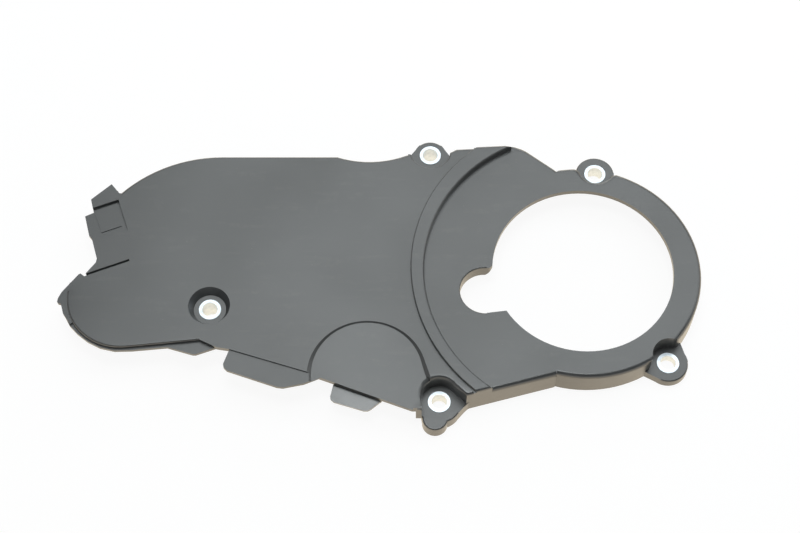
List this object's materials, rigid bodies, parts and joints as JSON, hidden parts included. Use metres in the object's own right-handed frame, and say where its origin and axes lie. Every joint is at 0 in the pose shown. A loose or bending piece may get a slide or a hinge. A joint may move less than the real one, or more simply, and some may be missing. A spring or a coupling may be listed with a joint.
{
  "type": "timing cover",
  "caption": "Flat moulded timing belt cover with a crank opening, a raised arc band, sunk bolt points lined with metal sleeves, a clip and joint tabs along its edge.",
  "frame": {"origin": "crank opening's axis where it crosses the mounting face", "axes": "+X along the long side towards the crank ring, +Y to the far edge with the upper lug, +Z out of the mounting face towards the outer face"},
  "size_m": [0.2932, 0.1465, 0.0175],
  "materials": {
    "moulding": "satin moulded",
    "sleeve": "turned and plated"
  },
  "bodies": {
    "root": {"cover": "moulding", "sleeve_left": "sleeve", "sleeve_top": "sleeve", "sleeve_ring_top": "sleeve", "sleeve_ring_low": "sleeve", "sleeve_mid": "sleeve"}
  },
  "joints": []
}
